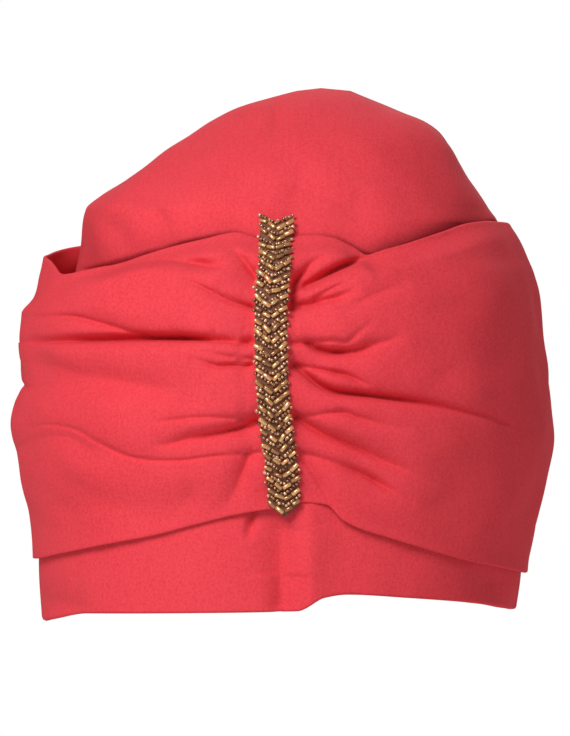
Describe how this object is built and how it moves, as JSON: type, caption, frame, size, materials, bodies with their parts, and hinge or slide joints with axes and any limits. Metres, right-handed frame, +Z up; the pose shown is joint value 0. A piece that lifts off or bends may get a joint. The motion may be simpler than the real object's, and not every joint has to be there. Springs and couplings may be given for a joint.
{
  "type": "turban headwrap with a beaded strip",
  "caption": "Pull-on turban of knitted jersey in its worn form: a hollow crown and headband, a ruched drape, and a beaded chevron strip down the centre front.",
  "frame": {"origin": "middle of the head opening, in the plane of the lowest point of the hem", "axes": "+Z up through the crown, -Y out of the beaded front, +X to the right of someone who looks at the front"},
  "size_m": [0.1911, 0.2233, 0.1876],
  "materials": {
    "jersey": "matt coral red knitted jersey with a fine rib grain",
    "beads": "antique gold and bronze glass bugle and seed beads with a metallic lustre"
  },
  "bodies": {
    "root": {"crown": "jersey", "headband": "jersey", "drape_left": "jersey", "drape_right": "jersey", "bead_strip": "beads"}
  },
  "joints": []
}
